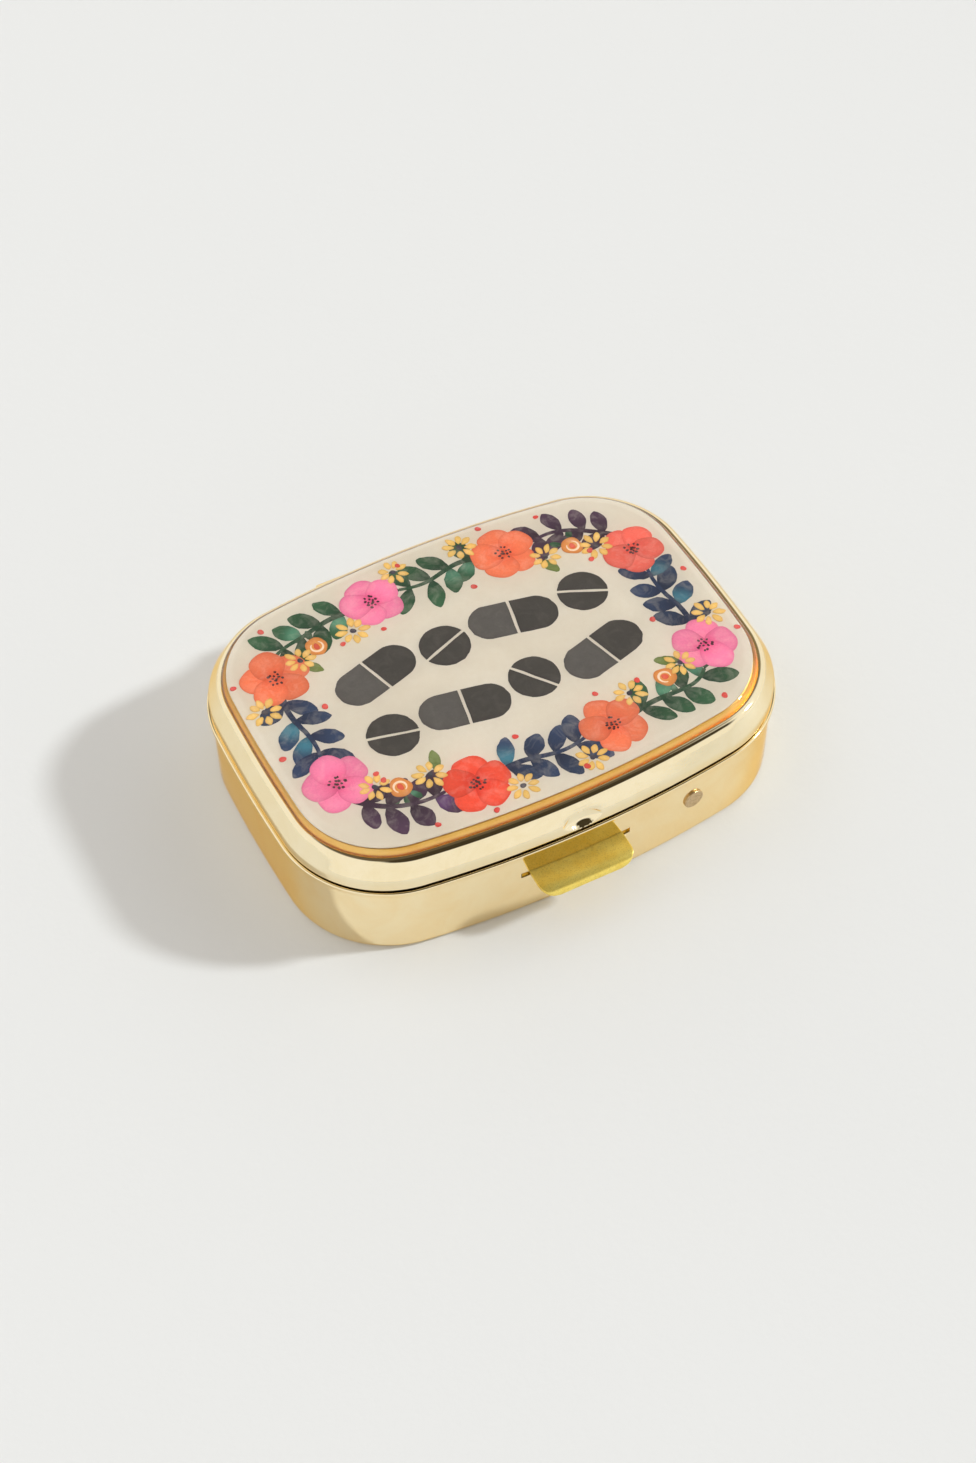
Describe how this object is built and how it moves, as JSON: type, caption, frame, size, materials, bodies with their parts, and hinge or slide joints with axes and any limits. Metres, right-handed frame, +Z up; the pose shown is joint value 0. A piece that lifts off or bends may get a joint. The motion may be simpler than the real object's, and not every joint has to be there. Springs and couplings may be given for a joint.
{
  "type": "pill box",
  "caption": "Pocket pill box with a hinged lid, a press-tab latch, a compartment tray inside and a floral card under clear domed resin on top.",
  "frame": {"origin": "middle of the resting face under the base", "axes": "+X along the hinge, -Y towards the latch, +Z up"},
  "size_m": [0.0572, 0.0461, 0.0149],
  "materials": {
    "gold_plate": "mirror-polished gold-tone plating on drawn sheet",
    "leaf_brass": "satin brushed brass",
    "pin_steel": "drawn wire with gold-tone wash",
    "tray_plastic": "fine moulded satin",
    "printed_card": "cream card with a printed watercolour flower border",
    "clear_resin": "clear, glossy, domed",
    "adhesive_film": "thin translucent film",
    "foam_pad": "closed-cell foam",
    "mirror_glass": "silvered glass"
  },
  "bodies": {
    "base": {"base_shell": "gold_plate", "insert_tray": "tray_plastic", "latch_pad": "leaf_brass", "latch_rivet": "leaf_brass", "hinge_leaf_base": "gold_plate", "hinge_pin": "pin_steel"},
    "lid": {"lid_shell": "gold_plate", "card_adhesive": "adhesive_film", "artwork_card": "printed_card", "resin_dome": "clear_resin", "mirror_foam": "foam_pad", "lid_mirror": "mirror_glass", "hinge_leaf_lid": "gold_plate"},
    "latch": {"latch_arm": "leaf_brass"}
  },
  "joints": [
    {"name": "lid_hinge", "type": "hinge", "parent": "base", "child": "lid", "pos_m": [0, 0.02175, 0.0096], "axis": [-1, 0, 0], "range_deg": [0, 110]},
    {"name": "latch_press", "type": "hinge", "parent": "base", "child": "latch", "pos_m": [0.0102, -0.01946, 0.00605], "axis": [0, 0, -1], "range_deg": [0, 5.5], "stiffness_Nm_per_rad": 0.05}
  ]
}
